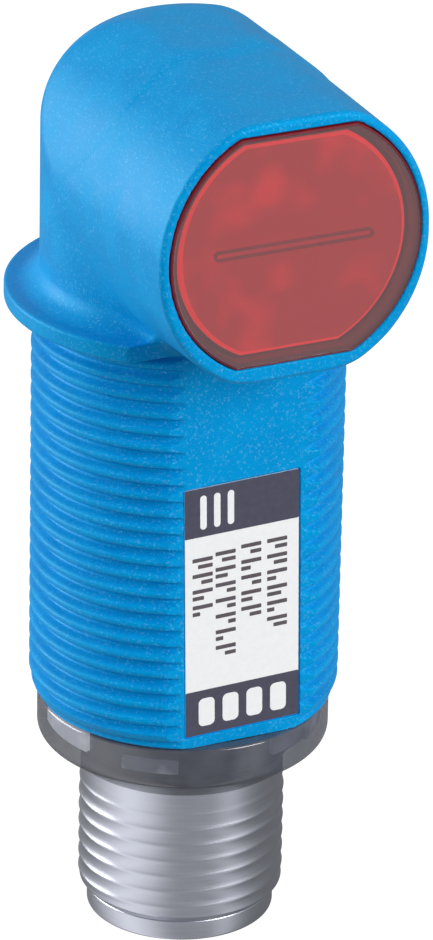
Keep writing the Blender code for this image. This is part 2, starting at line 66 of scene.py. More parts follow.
# Head: flange, neck, shoulder and the tube that holds the window
FLANGE_RADIUS = 10.5
FLANGE_THICKNESS = 1.0
FLANGE_EDGE = 0.16
NECK_FILLET = 1.3
SHOULDER_RADIUS = 8.5
SHOULDER_FILLET = 5.55
HEAD_TOP = 16.03
HEAD_AXIS = 8.0
HEAD_RADIUS = 8.53
HEAD_UPPER_RADIUS = 8.38
TUBE_RADIUS = 8.12
TUBE_DROP = 0.28
TUBE_FLAT = 7.45
TUBE_FRONT = -13.35
TUBE_BACK = 0.4
TUBE_EDGE = 0.3
TUBE_CORNER = 0.5
UPPER_RISE = 3
DROP_RISE = 6
SHOULDER_BLEND = 0.12
SEAM_BLEND = 0.1
VALLEY = 0.9
VALLEY_RISE = 5
POCKET_RADIUS = 7.6
POCKET_FLAT = 6.74
POCKET_FLOOR = -11.75
CAVITY_RADIUS = 6.9
CAVITY_FLAT = 6.3
CAVITY_BACK = 4.0
FRONT_FLAT = 7.59
BOTTOM_EDGE = 0.03
OPENING_EDGE = 0.1
GRID_STEP = 0.2
GRID_FINE = 0.1
NEWTON_STEPS = 4

# Window, its places along the optical axis from front to back
WINDOW_FRONT = -13.5
WINDOW_SKIN_BACK = -13.28
WALL_FRONT = -13.27
SLOT_FRONT = -13.1
SLOT_BACK = -12.85
PLATE_FRONT = -12.84
PLATE_RIM = -12.66
PLATE_BACK = -12.51
BACKING_FRONT = -12.5
WINDOW_BACK = -11.92
SLOT_LENGTH = 9.6
SLOT_HEIGHT = 0.55
SLOT_LINE_WIDTH = 0.11

# Indicator ring and connector
RING_RADIUS = 8.46
RING_TOP = -24.53
RING_SIDE_END = -26.2
RING_CORNER = 0.8
RING_BOTTOM = -28.46
RING_MOUTH = 6.1
RING_INNER = 7.7
RING_EDGE = 0.15
RING_STEPS = 256
CORE_STEPS = 192
GUIDE_GAP = 0.04
GUIDE_DEPTH = 0.3
GUIDE_SPACING = 45
CAMERA_SIDE = -115.9
SLEEVE_TOP = -21.2
SLEEVE_END = -38.46
SLEEVE_BORE = 4.35
SLEEVE_CORE = 5.905
SLEEVE_CREST = 5.99
SLEEVE_THREAD_TOP = -29.75
SLEEVE_CREST_Z = -30.7
SLEEVE_TIP = 5.46
SLEEVE_TIP_LENGTH = 1.3
SLEEVE_NECK = 5.9
SLEEVE_STEM = 5.45
SLEEVE_COLLAR = 6.7
SLEEVE_COLLAR_TOP = -26.1
SLEEVE_COLLAR_BOTTOM = -27.15
SLEEVE_NECK_BOTTOM = -29.5
SLEEVE_FIRST_ROW = -29.55
SLEEVE_ROW_STEP = 1 / 14
SLEEVE_STEPS = 256

# Label
LABEL_WIDTH = 7.09
LABEL_HEIGHT = 15.43
LABEL_Z = -16.0
LABEL_TILT = math.radians(1.3)
LABEL_POCKET_DEPTH = 0.16
LABEL_POCKET_MARGIN = 0.1
LABEL_FILM = 0.1
BAND_TOP = 3.0
BAND_BOTTOM = 2.8
LABEL_CORNER = 0.08
LABEL_POCKET_CORNER = 0.15
PRINT_THICKNESS = 0.012

# Plain marks in place of the print: columns of bars (x, highest z, marks), then rounded blocks
BAR_COLUMNS = ((2.19, 3.6, 6), (0.57, 3.6, 5), (-1.03, 3.45, 7), (-2.46, 3.3, 4))
BAR_STEP = 0.98
BAR_PAIR = 0.42
BAR_LENGTH, BAR_HEIGHT = 1.25, 0.24
UPPER_BLOCKS, LOWER_BLOCKS = (-2.4, -1.55, -0.7), (-2.25, -0.75, 0.75, 2.25)

# Studio glow near the ground, by direction: (degrees, brightness)
GROUND_GLOW = (
    (-180, 1.4), (-167, 1.25), (-147, 0.95), (-130, 0.48), (-112, 0.40), (-91, 0.46), (-78, 0.32), (-66, 0.72),
    (-54, 0.82), (-42, 0.42), (-28, 0.24), (0, 0.2), (60, 0.2), (104, 0.22), (123, 0.38), (143, 0.65), (158, 0.95),
    (180, 1.4),
)
SKY_GLOW = 0.36
SKY_START, SKY_FULL = -0.12, 0.2
AMBIENT_BELOW, AMBIENT_ABOVE = 0.30, 0.50
AMBIENT_START, AMBIENT_FULL = -0.4, 0.6
FLOOR_HALF = 2.0
LIGHT_DISTANCE = 0.5
LIGHT_AIM = -0.011


# ---------------------------------------------------------------- meshes


def add_piece(name, points, faces, material, stands_for=(), sharp=None, normals=None):
    """Makes a mesh from millimetre points, gives it its material, and rides it on the body."""
    mesh = bpy.data.meshes.new(name)
    mesh.from_pydata((np.asarray(points) * MM).tolist(), [], [list(face) for face in faces])
    mesh.update()
    mesh.polygons.foreach_set("use_smooth", [True] * len(mesh.polygons))
    if sharp is not None:
        mesh.set_sharp_from_angle(angle=math.radians(sharp))
    if normals is not None:
        mesh.normals_split_custom_set_from_vertices(normals.tolist())
    mesh.materials.append(material)
    piece = bpy.data.objects.new(name, mesh)
    bpy.context.scene.collection.objects.link(piece)
    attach(piece, "root")
    if stands_for:
        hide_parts(*stands_for)
    return piece


def welded(points, faces):
    """Joins equal points, and drops the faces that this flattens."""
    _, first, where = np.unique(np.round(points, 5), axis=0, return_index=True, return_inverse=True)
    kept = []
    for face in where.reshape(-1)[faces].tolist():
        ring = [point for i, point in enumerate(face) if point != face[i - 1]]
        if len(ring) > 2:
            kept.append(ring)
    return points[first], kept


def loop_faces(rows, columns, helical_rows=0, shift=0):
    """Quads of a grid that closes on itself both ways; its first rows may climb by shift rows a turn."""
    index = np.arange(rows * columns).reshape(rows, columns)
    seam = np.arange(rows)
    seam[:helical_rows] = np.minimum(seam[:helical_rows] + shift, max(helical_rows - 1, 0))
    index = np.column_stack([index, index[seam, 0]])
    index = np.vstack([index, index[:1]])
    quads = (index[:-1, :-1], index[1:, :-1], index[1:, 1:], index[:-1, 1:])
    return np.stack([quad.reshape(-1) for quad in quads], axis=1)


def polar(angle, radius, height):
    """Points at angles, radii and heights, one row after another."""
    angle, radius, height = np.broadcast_arrays(angle, radius, height)
    ring = (radius * np.cos(angle), radius * np.sin(angle), height)
    return np.stack([axis.reshape(-1) for axis in ring], axis=1)


def lathe(name, profile, steps, material, stands_for=(), sharp=40):
    """Turned body from a closed profile of (radius, height), top outside first."""
    radius, height = np.array(profile).T
    angle = np.linspace(0, 2 * math.pi, steps, endpoint=False)
    points = polar(angle[None, :], radius[:, None], height[:, None])
    return add_piece(name, points, loop_faces(len(profile), steps), material, stands_for, sharp)


def corner(centre, radius, start, end, steps=8):
    """Points of an arc in (radius, height), angles in degrees."""
    turn = np.radians(np.linspace(start, end, steps + 1))
    return [(centre[0] + radius * math.cos(a), centre[1] + radius * math.sin(a)) for a in turn]


def smooth_min(a, b, blend):
    """The lower of two values, with a rounded change from one to the other."""
    mix = np.maximum(blend - np.abs(a - b), 0) / blend
    return np.minimum(a, b) - mix * mix * blend / 4


def smooth_max(a, b, blend):
    """The higher of two values, with a rounded change from one to the other."""
    return -smooth_min(-a, -b, blend)


def ridge(offset, crest, core, crest_half, root_start):
    """Radius of a moulded thread at an offset from its crest, in pitches."""
    t = np.clip((np.abs(offset) - crest_half) / (root_start - crest_half), 0, 1)
    return crest - (crest - core) * t * t * (3 - 2 * t)


def barrel_radius(angle, height):
    """Outside radius of the barrel: thread, end taper and the two flats."""
    offset = (height - CREST_Z - PITCH * angle / (2 * math.pi)) / PITCH
    offset = offset - np.round(offset)
    radius = ridge(offset, BARREL_CREST, BARREL_CORE, CREST_HALF, ROOT_START)
    taper = BARREL_END_RADIUS + (height - BARREL_BOTTOM) * (BARREL_CREST - BARREL_END_RADIUS) / BARREL_END_TAPER
    rise = np.clip((height - BARREL_BOTTOM) / END_ROUND_HEIGHT, 0, 1)
    end_round = np.sqrt(np.clip(1 - (1 - rise) ** 2, 0, 1))
    radius = smooth_min(radius, taper, TAPER_BLEND) - END_ROUND_DEPTH * (1 - end_round)
    flat = BARREL_FLAT / np.maximum(np.abs(np.sin(angle)), 0.3)
    return smooth_min(radius, flat, FLAT_BLEND)


def barrel_angles():
    """Columns round the barrel, close together where the thread runs out into the flats."""
    quarter = np.concatenate([np.arange(0, 56.4, 1.2), np.arange(56.4, 65.4, 0.36), np.arange(65.4, 90, 2.46)])
    half = np.concatenate([quarter, 180 - quarter[::-1][:-1]])
    return np.radians(np.concatenate([half, half + 180]))


def make_barrel():
    """Threaded barrel with its bore, its grid climbing with the thread."""
    offsets = np.array(RIDGE_OFFSETS)
    angle = np.unique(np.round(barrel_angles(), 7))
    angle = angle[angle < 2 * math.pi - 1e-4]
    turns = math.ceil(BARREL_TOP - BARREL_BOTTOM) + 3
    steps = (np.arange(turns)[:, None] + offsets[None, :]).reshape(-1)[::-1]
    first = BARREL_BOTTOM - 2 + (CREST_Z % 1.0) + 0.5
    base = math.floor(first) + CREST_Z
    height = base + steps[:, None] + PITCH * angle[None, :] / (2 * math.pi)
    height = np.clip(height, BARREL_BOTTOM, BARREL_TOP)
    outside = polar(angle[None, :], barrel_radius(angle[None, :], height), height)
    inside = polar(
        angle[None, :],
        np.array([BARREL_BORE, BARREL_BORE])[:, None],
        np.array([BARREL_BOTTOM, BARREL_TOP])[:, None],
    )
    points = np.concatenate([outside, inside])
    rows = len(steps)
    faces = loop_faces(rows + 2, len(angle), rows, -len(offsets))
    return points, faces


# ---------------------------------------------------------------- head


def round_union(a, b, radius):
    """Distance to two bodies joined with a fillet."""
    reach = np.hypot(np.maximum(radius - a, 0), np.maximum(radius - b, 0))
    return np.maximum(radius, np.minimum(a, b)) - reach


def round_cut(a, b, radius):
    """Distance to what two bodies share, its edge rounded."""
    return -round_union(-a, -b, radius)


def two_flats(x, z, radius, flat, blend):
    """Distance to a round outline with a flat above and below."""
    return smooth_max(np.hypot(x, z - HEAD_AXIS) - radius, np.abs(z - HEAD_AXIS) - flat, blend)


def head_distance(x, y, z):
    """Signed distance to the moulded head."""
    plan = np.hypot(x, y)
    out = plan - (SHOULDER_RADIUS - SHOULDER_FILLET)
    up = z - (HEAD_TOP - SHOULDER_FILLET)
    shoulder = np.hypot(np.maximum(out, 0), np.maximum(up, 0)) + np.minimum(np.maximum(out, up), 0)
    shoulder = shoulder - SHOULDER_FILLET
    upper = np.clip((z - HEAD_AXIS) / UPPER_RISE, 0, 1)
    head_radius = HEAD_RADIUS - (HEAD_RADIUS - HEAD_UPPER_RADIUS) * upper * upper * (3 - 2 * upper)
    side = np.where(z > HEAD_AXIS, np.hypot(x, z - HEAD_AXIS), np.abs(x)) - head_radius
    shoulder = smooth_max(shoulder, side, SHOULDER_BLEND)
    half = FLANGE_THICKNESS / 2
    rim = plan - (FLANGE_RADIUS - FLANGE_EDGE)
    lid = np.abs(z - half) - (half - FLANGE_EDGE)
    flange = np.hypot(np.maximum(rim, 0), np.maximum(lid, 0)) + np.minimum(np.maximum(rim, lid), 0)
    body = round_union(shoulder, flange - FLANGE_EDGE, NECK_FILLET)
    body = np.maximum(body, -z)
    body = round_cut(body, -FRONT_FLAT - y, OPENING_EDGE)
    depth = np.clip((y - TUBE_FRONT) / -TUBE_FRONT, 0, 1)
    drop = TUBE_DROP * np.clip((HEAD_AXIS - z) / DROP_RISE, 0, 1)
    radius = TUBE_RADIUS + (head_radius - TUBE_RADIUS) * depth + drop
    flat = TUBE_FLAT + (HEAD_TOP - HEAD_AXIS - TUBE_FLAT) * depth + drop
    tube = round_cut(two_flats(x, z, radius, flat, TUBE_CORNER), TUBE_FRONT - y, TUBE_EDGE)
    tube = np.maximum(tube, y - TUBE_BACK)
    valley = VALLEY * np.clip((HEAD_AXIS - z) / VALLEY_RISE, 0.02, 1)
    joined = np.minimum(round_union(body, tube, valley), smooth_min(body, tube, SEAM_BLEND))
    solid = round_cut(joined, -z, BOTTOM_EDGE)
    pocket = np.maximum(two_flats(x, z, POCKET_RADIUS, POCKET_FLAT, OPENING_EDGE), y - POCKET_FLOOR)
    cavity = np.maximum(two_flats(x, z, CAVITY_RADIUS, CAVITY_FLAT, OPENING_EDGE), y - CAVITY_BACK)
    bore = np.maximum(plan - BARREL_BORE, z - HEAD_AXIS)
    hollow = np.minimum(np.minimum(pocket, cavity), bore)
    return round_cut(solid, -hollow, OPENING_EDGE)


def gradient(distance, points, step=0.001):
    """Slope of a distance at each point."""
    slope = np.empty_like(points)
    for axis in range(3):
        nudge = np.zeros(3)
        nudge[axis] = step
        slope[:, axis] = (distance(*(points + nudge).T) - distance(*(points - nudge).T)) / (2 * step)
    return slope


def surface_of(distance, axes):
    """Closed quad mesh on the zero surface of a distance, over a grid of three axes."""
    value = distance(*np.meshgrid(*axes, indexing="ij"))
    inside = value < 0
    cells = tuple(n - 1 for n in value.shape)
    total = [np.zeros(cells) for _ in range(3)]
    count = np.zeros(cells, dtype=int)
    crossings = []
    for a in range(3):
        b, c = (a + 1) % 3, (a + 2) % 3
        near = [slice(None)] * 3
        far = [slice(None)] * 3
        near[a], far[a] = slice(None, -1), slice(1, None)
        near, far = tuple(near), tuple(far)
        crossed = inside[near] != inside[far]
        crossings.append(crossed)
        gap = np.where(crossed, value[near] - value[far], 1.0)
        along = np.where(crossed, value[near] / gap, 0.0)
        shape = [1, 1, 1]
        shape[a] = -1
        place = axes[a][:-1].reshape(shape) + along * np.diff(axes[a]).reshape(shape)
        for db in (0, 1):
            for dc in (0, 1):
                part = [slice(None)] * 3
                part[b] = slice(db, cells[b] + db)
                part[c] = slice(dc, cells[c] + dc)
                part = tuple(part)
                hit = crossed[part]
                count += hit
                total[a] += np.where(hit, place[part], 0.0)
                for other, shift in ((b, db), (c, dc)):
                    shape = [1, 1, 1]
                    shape[other] = -1
                    line = axes[other][shift : cells[other] + shift].reshape(shape)
                    total[other] += np.where(hit, line, 0.0)
    mixed = count > 0
    points = np.stack([t[mixed] / count[mixed] for t in total], axis=1)
    index = np.full(cells, -1)
    index[mixed] = np.arange(len(points))
    faces = []
    for a in range(3):
        b, c = (a + 1) % 3, (a + 2) % 3
        spot = np.argwhere(crossings[a])
        outward = inside[tuple(spot.T)]
        step_b, step_c = np.eye(3, dtype=int)[b], np.eye(3, dtype=int)[c]
        ring = [spot - step_b - step_c, spot - step_c, spot, spot - step_b]
        quad = np.stack([index[tuple(cell.T)] for cell in ring], axis=1)
        faces.append(np.where(outward[:, None], quad, quad[:, ::-1]))
    for _ in range(NEWTON_STEPS):
        slope = gradient(distance, points)
        size = np.maximum((slope**2).sum(axis=1), 0.2)
        points = points - (distance(*points.T) / size)[:, None] * slope
    slope = gradient(distance, points)
    normals = slope / np.maximum(np.linalg.norm(slope, axis=1), 1e-6)[:, None]
    return points, np.concatenate(faces), normals


# ---------------------------------------------------------------- flat outlines


def two_flat_outline(radius, flat, steps=40):
    """Points round a circle with a flat above and below, as (x, z)."""
    reach = math.asin(min(flat / radius, 1.0))
    right = [(radius * math.cos(a), radius * math.sin(a)) for a in np.linspace(-reach, reach, steps)]
    left = [(-x, -z) for x, z in right]
    width = right[-1][0]
    top = [(x, flat) for x in np.linspace(width, -width, steps // 2)[1:-1]]
    bottom = [(-x, -flat) for x, _ in top]
    return np.array(right + top + left + bottom)


def window_body(name, rows, material, stands_for=(), closed=False, sharp=35):
    """Body through (radius, flat, y) outlines: capped at both ends, or closed from last to first."""
    outlines = [two_flat_outline(radius, flat) for radius, flat, _ in rows]
    size = len(outlines[0])
    points = [(x, y, HEAD_AXIS + z) for outline, (_, _, y) in zip(outlines, rows) for x, z in outline]
    index = np.arange(len(rows) * size).reshape(len(rows), size)
    index = np.column_stack([index, index[:, 0]])
    if closed:
        index = np.vstack([index, index[:1]])
    quads = (index[:-1, :-1], index[1:, :-1], index[1:, 1:], index[:-1, 1:])
    faces = np.stack([quad.reshape(-1) for quad in quads], axis=1).tolist()
    if not closed:
        faces.append(list(range(size)))
        faces.append(list(range((len(rows) - 1) * size, len(rows) * size))[::-1])
    return add_piece(name, points, faces, material, stands_for, sharp)


def stadium(length, height, steps=10):
    """Points round a slot, as (x, z)."""
    radius = height / 2
    middle = length / 2 - radius
    right = [(middle + radius * math.cos(a), radius * math.sin(a)) for a in np.linspace(-1.571, 1.571, steps)]
    return np.array(right + [(-x, -z) for x, z in right])


def slot_frame(name, length, height, line, front, back, material):
    """Thin frame round a slot."""
    outer = stadium(length, height)
    inner = stadium(length - 2 * line, height - 2 * line)
    rows = [(outer, back), (outer, front), (inner, front), (inner, back)]
    points = [(x, y, HEAD_AXIS + z) for outline, y in rows for x, z in outline]
    return add_piece(name, points, loop_faces(4, len(outer)), material, sharp=35)


def plate_mesh(width, height, front, back, centre, tilt, corner_radius):
    """Points and faces of a thin upright plate with rounded corners, tilted in its plane."""
    turns = ((1, -1, -90), (1, 1, 0), (-1, 1, 90), (-1, -1, 180))
    outline = []
    for sx, sz, start in turns:
        for a in np.radians(np.linspace(start, start + 90, 5)):
            x = sx * (width / 2 - corner_radius) + corner_radius * math.cos(a)
            z = sz * (height / 2 - corner_radius) + corner_radius * math.sin(a)
            outline.append((x * math.cos(tilt) - z * math.sin(tilt), x * math.sin(tilt) + z * math.cos(tilt)))
    size = len(outline)
    points = [(centre[0] + x, y, centre[1] + z) for y in (front, back) for x, z in outline]
    faces = [list(range(size)), list(range(size, 2 * size))[::-1]]
    faces += [[i, i + size, (i + 1) % size + size, (i + 1) % size] for i in range(size)]
    return points, faces


def add_plates(name, plates, material, stands_for=()):
    """One piece of one or more thin plates."""
    points, faces = [], []
    for part_points, part_faces in (plate_mesh(*sizes) for sizes in plates):
        faces += [[index + len(points) for index in face] for face in part_faces]
        points += part_points
    return add_piece(name, points, faces, material, stands_for, sharp=35)


# ---------------------------------------------------------------- materials


def shader(name, colour, roughness, metallic=0.0, ior=1.5, alpha=1.0):
    """Principled material with its constants on the shader's own sockets."""
    material = bpy.data.materials.new(name)
    material.use_nodes = True
    node = material.node_tree.nodes["Principled BSDF"]
    node.inputs["Base Color"].default_value = (*colour, 1.0)
    node.inputs["Roughness"].default_value = roughness
    node.inputs["Metallic"].default_value = metallic
    node.inputs["IOR"].default_value = ior
    node.inputs["Alpha"].default_value = alpha
    return material, node


def object_noise(material, scale, stretch=(1, 1, 1), detail=3.0, rough=0.6):
    """Noise in the object's own space, in features per metre."""
    tree = material.node_tree
    place = tree.nodes.new("ShaderNodeTexCoord")
    mapping = tree.nodes.new("ShaderNodeMapping")
    mapping.inputs["Scale"].default_value = stretch
    noise = tree.nodes.new("ShaderNodeTexNoise")
    noise.inputs["Scale"].default_value = scale
    noise.inputs["Detail"].default_value = detail
    noise.inputs["Roughness"].default_value = rough
    tree.links.new(place.outputs["Object"], mapping.inputs["Vector"])
    tree.links.new(mapping.outputs["Vector"], noise.inputs["Vector"])
    return noise


def ramp(material, source, stops):
    """Colour ramp from (position, colour) stops."""
    node = material.node_tree.nodes.new("ShaderNodeValToRGB")
    elements = node.color_ramp.elements
    while len(elements) < len(stops):
        elements.new(0.5)
    for element, (position, colour) in zip(elements, stops):
        element.position = position
        element.color = (*colour, 1.0)
    material.node_tree.links.new(source, node.inputs["Fac"])
    return node.outputs["Color"]


def value_ramp(material, source, low, high, start=0.3, end=0.7):
    """Number that follows a texture between two values."""
    node = material.node_tree.nodes.new("ShaderNodeMapRange")
    node.inputs["From Min"].default_value = start
    node.inputs["From Max"].default_value = end
    node.inputs["To Min"].default_value = low
    node.inputs["To Max"].default_value = high
    material.node_tree.links.new(source, node.inputs["Value"])
    return node.outputs["Result"]


def add_bump(material, node, source, strength, distance):
    """Relief that follows a texture; its distance is in metres."""
    bump = material.node_tree.nodes.new("ShaderNodeBump")
    bump.inputs["Strength"].default_value = strength
    bump.inputs["Distance"].default_value = distance
    material.node_tree.links.new(source, bump.inputs["Height"])
    material.node_tree.links.new(bump.outputs["Normal"], node.inputs["Normal"])


def link(material, source, node, socket):
    """Feeds one socket of a shader."""
    material.node_tree.links.new(source, node.inputs[socket])


def surface(name, colour, roughness, metallic=0.0, scale=4000, spread=0.12, bump=0.05, stretch=(1, 1, 1), **more):
    """Material with a fine, uneven colour, gloss and relief."""
    material, node = shader(name, colour, roughness, metallic, **more)
    noise = object_noise(material, scale, stretch)
    dark = [c * (1 - spread) for c in colour]
    light = [min(c * (1 + spread), 1.0) for c in colour]
    link(material, ramp(material, noise.outputs["Fac"], [(0.3, dark), (0.7, light)]), node, "Base Color")
    link(material, value_ramp(material, noise.outputs["Fac"], roughness * 0.85, roughness * 1.15), node, "Roughness")
    add_bump(material, node, noise.outputs["Fac"], bump, 0.00002)
    return material


def blue_plastic():
    """Bright blue moulded plastic with a satin skin, fine relief, and fine pale flecks that are painted glints."""
    colour, pale, deep = (0.0, 0.34, 0.76), (0.20, 0.61, 0.95), (0.0, 0.30, 0.71)
    material, node = shader("housing_blue", colour, 0.42, ior=1.5)
    node.inputs["Specular Tint"].default_value = (0.04, 0.75, 1.0, 1.0)
    node.inputs["Specular IOR Level"].default_value = 0.36
    cloud = object_noise(material, 450, detail=4.0)
    glint_fleck = object_noise(material, 6500, detail=2.0, rough=0.7)
    body = ramp(material, cloud.outputs["Fac"], [(0.35, deep), (0.65, colour)])
    # Painted highlight: the pale flecks stand in for glints of light on the rough skin; the same noise also gives the
    # fine relief.
    glint_mask = value_ramp(material, glint_fleck.outputs["Fac"], 0.0, 0.5, 0.56, 0.76)
    mix = material.node_tree.nodes.new("ShaderNodeMix")
    mix.data_type = "RGBA"
    link(material, glint_mask, mix, "Factor")
    link(material, body, mix, "A")
    mix.inputs["B"].default_value = (*pale, 1.0)
    link(material, mix.outputs["Result"], node, "Base Color")
    link(material, value_ramp(material, cloud.outputs["Fac"], 0.36, 0.5), node, "Roughness")
    add_bump(material, node, glint_fleck.outputs["Fac"], 0.3, 0.00004)
    return material


def painted_glow(name, dim, bright, glow, scale):
    """Material with painted light: it glows though it is no lamp, standing in for light falling on it, and is
    brighter in soft patches of painted highlight.
    """
    material, node = shader(name, dim, 0.5)
    highlight_patch = object_noise(material, scale, detail=1.5)
    colour = ramp(material, highlight_patch.outputs["Fac"], [(0.5, dim), (0.74, bright)])
    link(material, colour, node, "Base Color")
    # Painted light: the emission makes the part glow as if lit.
    link(material, colour, node, "Emission Color")
    node.inputs["Emission Strength"].default_value = glow
    return material


BLUE = blue_plastic()
NICKEL = surface("nickel", (0.53, 0.55, 0.61), 0.34, 1.0, scale=300, spread=0.05, bump=0.12, stretch=(1, 1, 60))
SMOKE = surface("ring_smoke", (0.09, 0.10, 0.135), 0.14, scale=900, spread=0.2, bump=0.02, ior=1.9, alpha=0.75)
# Painted light: the ring's guide blocks glow as if lit, and the brighter lit copy paints extra light on one block.
GUIDE_PAINTED_GLOW = painted_glow("light_guide", (0.25, 0.27, 0.33), (0.85, 0.88, 0.95), 0.38, 500)
GUIDE_PAINTED_LIT = painted_glow("light_guide_painted_lit", (0.60, 0.63, 0.70), (0.95, 0.96, 1.0), 1.25, 500)
RING_CORE = surface("ring_core", (0.035, 0.037, 0.045), 0.4, scale=1500)
WINDOW = surface("window_red", (0.12, 0.003, 0.008), 0.03, scale=500, spread=0.02, bump=0.0, ior=2.5, alpha=0.5)
# Painted light: the window's dark red side walls and edge ring glow as if lit.
WALL_PAINTED_GLOW = painted_glow("window_wall_painted_glow", (0.16, 0.001, 0.006), (0.22, 0.002, 0.008), 0.3, 900)
WINDOW_DARK = surface("window_dark", (0.05, 0.002, 0.004), 0.4, scale=900, spread=0.2, bump=0.02)
# Painted light: the slot's thin frame glows dark red as if lit.
SLOT_PAINTED_GLOW = painted_glow("slot_line_painted_glow", (0.30, 0.002, 0.006), (0.38, 0.003, 0.008), 0.7, 900)
LABEL_WHITE = surface("label_white", (0.97, 0.985, 1.0), 0.38, scale=2500, spread=0.03, bump=0.04)
LABEL_DARK = surface("label_dark", (0.062, 0.062, 0.10), 0.38, scale=2500, spread=0.12, bump=0.04)
LABEL_INK = surface("label_ink", (0.10, 0.085, 0.10), 0.45, scale=2500, spread=0.12, bump=0.04)
# Painted light: the red plate behind the window glows as if lit, brighter in soft patches of painted reflection.
PLATE_PAINTED_GLOW = painted_glow("window_plate_painted_glow", (0.62, 0.002, 0.004), (0.98, 0.004, 0.006), 1.2, 330)
# Painted highlight: the plate's bevelled edge glows bright red.
EDGE_PAINTED_HIGHLIGHT = painted_glow("window_edge", (0.90, 0.004, 0.006), (1.0, 0.006, 0.008), 1.9, 500)

CAD_LOOKS = {
    "optics_holder": surface("holder_black", (0.008, 0.008, 0.009), 0.5),
    "emitter_lens": surface("clear_optic", (0.83, 0.85, 0.87), 0.05, bump=0.0, alpha=0.4),
    "emitter_polariser": surface("polariser_grey", (0.10, 0.10, 0.13), 0.15, bump=0.0, alpha=0.7),
    "optics_board": surface("board_green", (0.007, 0.107, 0.032), 0.4, scale=1800, spread=0.25),
    "emitter_led": surface("lamp_red", (0.58, 0.02, 0.02), 0.15),
    "signal_asic": surface("chip_black", (0.010, 0.010, 0.011), 0.45, spread=0.3),
    "shield_can": surface("tin_plate", (0.52, 0.53, 0.55), 0.35, 1.0, scale=900),
    "capacitor_input": surface("capacitor_tan", (0.55, 0.30, 0.08), 0.4, spread=0.2),
    "status_led_green": surface("lamp_green", (0.05, 0.51, 0.06), 0.15),
    "status_led_yellow": surface("lamp_yellow", (0.87, 0.58, 0.02), 0.15),
    "contact_carrier": surface("carrier_black", (0.010, 0.010, 0.012), 0.45, spread=0.3),
    "contact_pin_1": surface("gold", (0.80, 0.52, 0.16), 0.22, 1.0, scale=1500, spread=0.06),
}
SAME_LOOK = {
    "receiver_lens": "emitter_lens",
    "receiver_polariser": "emitter_polariser",
    "main_board": "optics_board",
    "board_link": "optics_board",
    "receiver_diode": "signal_asic",
    "microcontroller": "signal_asic",
    "voltage_regulator": "signal_asic",
    "output_driver": "signal_asic",
    "surge_suppressor": "signal_asic",
    "capacitor_output": "capacitor_input",
    "contact_pin_2": "contact_pin_1",
    "contact_pin_3": "contact_pin_1",
    "contact_pin_4": "contact_pin_1",
}
for node_name, cad_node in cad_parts.items():
    look = CAD_LOOKS.get(SAME_LOOK.get(node_name, node_name))
    if look is not None:
        cad_node.data.materials.clear()
        cad_node.data.materials.append(look)


# ---------------------------------------------------------------- housing

points, faces = welded(*make_barrel())
barrel = add_piece("housing_barrel", points, faces, BLUE, ("housing",), sharp=50)

# Grid for the head: (x, y, z), finer at the window's rim and at the flange
GRID = (
    np.arange(-10.75, 10.76, GRID_STEP),
    np.concatenate([np.arange(-13.65, -12.8, GRID_FINE), np.arange(-12.75, 10.76, GRID_STEP)]),
    np.concatenate([np.arange(-0.15, 1.3, GRID_FINE), np.arange(1.35, 16.7, GRID_STEP)]),
)
points, faces, normals = surface_of(head_distance, GRID)
add_piece("housing_head", points, faces, BLUE, ("housing",), normals=normals)


def label_pocket():
    """Shallow pocket in the front flat, a little larger than the label."""
    margin = 2 * LABEL_POCKET_MARGIN
    sizes = (
        LABEL_WIDTH + margin, LABEL_HEIGHT + margin, -BARREL_FLAT - 1.0, -BARREL_FLAT + LABEL_POCKET_DEPTH,
        (0.0, LABEL_Z), LABEL_TILT, LABEL_POCKET_CORNER,
    )
    cutter = add_plates("pocket_cutter", [sizes], BLUE)
    modifier = barrel.modifiers.new("pocket", "BOOLEAN")
    modifier.operation = "DIFFERENCE"
    modifier.solver = "EXACT"
    modifier.object = cutter
    bpy.context.view_layer.update()
    shaped = bpy.data.meshes.new_from_object(barrel.evaluated_get(bpy.context.evaluated_depsgraph_get()))
    barrel.modifiers.clear()
    barrel.data = shaped
    bpy.data.objects.remove(cutter)


label_pocket()

# ---------------------------------------------------------------- label

film_back = -BARREL_FLAT + LABEL_POCKET_DEPTH - 0.01
film_front = film_back - LABEL_FILM


def on_label(x, z):
    """Place on the tilted label, from its centre."""
    turn_cos, turn_sin = math.cos(LABEL_TILT), math.sin(LABEL_TILT)
    return (x * turn_cos - z * turn_sin, LABEL_Z + x * turn_sin + z * turn_cos)


def printed(x, z, width, height, layer=0, rounding=0.04):
    """Sizes of a flat printed area on the label; layer 1 lies on layer 0."""
    lift = layer * PRINT_THICKNESS
    front = film_front - PRINT_THICKNESS - lift
    return width, height, front, film_front - lift, on_label(x, z), LABEL_TILT, rounding


sizes = (LABEL_WIDTH, LABEL_HEIGHT, film_front, film_back, (0.0, LABEL_Z), LABEL_TILT, LABEL_CORNER)
add_plates("label_film", [sizes], LABEL_WHITE, ("label",))
upper_band = (LABEL_HEIGHT - BAND_TOP) / 2
lower_band = (BAND_BOTTOM - LABEL_HEIGHT) / 2
bands = [
    printed(0, upper_band, LABEL_WIDTH, BAND_TOP, rounding=LABEL_CORNER),
    printed(0, lower_band, LABEL_WIDTH, BAND_BOTTOM, rounding=LABEL_CORNER),
]
add_plates("label_bands", bands, LABEL_DARK)

rng = np.random.default_rng(7)
bars = []
for x, top, marks in BAR_COLUMNS:
    for mark in range(marks):
        z = top - mark * BAR_STEP
        short = rng.uniform(0.45, 0.95)
        side = rng.choice((-1, 1))
        bars.append(printed(x, z, BAR_LENGTH, BAR_HEIGHT))
        bars.append(printed(x + side * (BAR_LENGTH - short) / 2, z - BAR_PAIR, short, BAR_HEIGHT))
add_plates("label_bars", bars, LABEL_INK)
blocks = [printed(x, upper_band, 0.4, 2.1, 1, 0.19) for x in UPPER_BLOCKS]
blocks += [printed(x, lower_band, 1.0, 1.75, 1, 0.3) for x in LOWER_BLOCKS]
add_plates("label_blocks", blocks, LABEL_WHITE)

# ---------------------------------------------------------------- window

